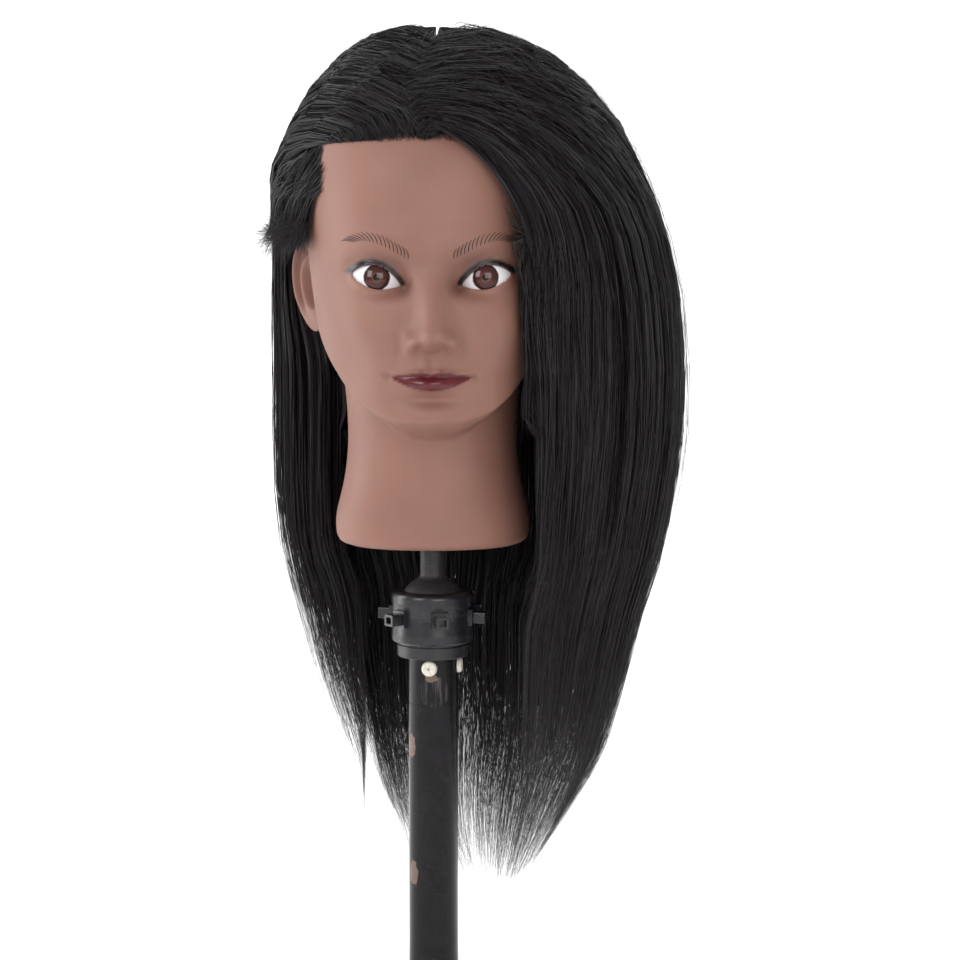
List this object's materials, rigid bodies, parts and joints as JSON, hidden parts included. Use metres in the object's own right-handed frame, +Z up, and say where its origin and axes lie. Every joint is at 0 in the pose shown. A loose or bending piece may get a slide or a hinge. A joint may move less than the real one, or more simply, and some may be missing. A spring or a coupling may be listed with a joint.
{
  "type": "mannequin training head",
  "caption": "Hairdressing practice head with a moulded face and long implanted hair, slid over the peg of a tilting ball-joint holder on a round mast.",
  "frame": {"origin": "centre of the mast tube's lower end, where a stand or clamp takes hold of it", "axes": "+Z up along the mast, the face looks towards -Y, +X is the viewer's right of the face"},
  "size_m": [0.241, 0.2206, 0.549],
  "materials": {
    "black_paint": "gloss, scratched",
    "plug_plastic": "matte",
    "screw_paint": "satin",
    "nylon": "matte",
    "dark_metal": "satin, dusty",
    "gloss_black": "gloss",
    "vinyl": "soft matte vinyl",
    "foam": "foam",
    "eye_white": "gloss",
    "iris": "gloss",
    "clear": "clear gloss",
    "hair": "fine straight fibre"
  },
  "bodies": {
    "mast": {"mast_tube": "black_paint", "mast_end_plug": "plug_plastic", "socket_body": "black_paint", "socket_screws": "screw_paint"},
    "ring": {"lock_ring": "gloss_black"},
    "seat": {"ball_seat": "nylon"},
    "ball": {"ball": "dark_metal", "peg": "dark_metal"},
    "head": {"head_skin": "vinyl", "foam_core": "foam", "neck_socket": "nylon", "left_eye_white": "eye_white", "left_iris": "iris", "left_cornea": "clear", "right_eye_white": "eye_white", "right_iris": "iris", "right_cornea": "clear", "hair_crown": "hair", "hair_side_left": "hair", "hair_nape": "hair", "hair_side_right": "hair"},
    "hair_fall": {"hair_fall_left": "hair", "hair_fall_back": "hair", "hair_fall_right": "hair"}
  },
  "joints": [
    {"name": "ring_turn", "type": "hinge", "parent": "mast", "child": "ring", "pos_m": [0, 0, 0.2205], "axis": [0, 0, 1], "range_deg": [0, 90]},
    {"name": "head_swivel", "type": "hinge", "parent": "mast", "child": "seat", "pos_m": [0, 0, 0.224], "axis": [0, 0, 1], "continuous": true},
    {"name": "head_tilt", "type": "hinge", "parent": "seat", "child": "ball", "pos_m": [0, 0, 0.224], "axis": [1, 0, 0], "range_deg": [-20, 20]},
    {"name": "head_lift", "type": "slide", "parent": "ball", "child": "head", "axis": [0, 0, 1], "range_m": [0, 0.12]},
    {"name": "hair_swing", "type": "hinge", "parent": "head", "child": "hair_fall", "pos_m": [0, 0.035, 0.38493], "axis": [1, 0, 0], "range_deg": [-10, 10]}
  ],
  "couplings": [
    {"joint": "hair_swing", "follows": "head_tilt", "ratio": -0.5}
  ]
}
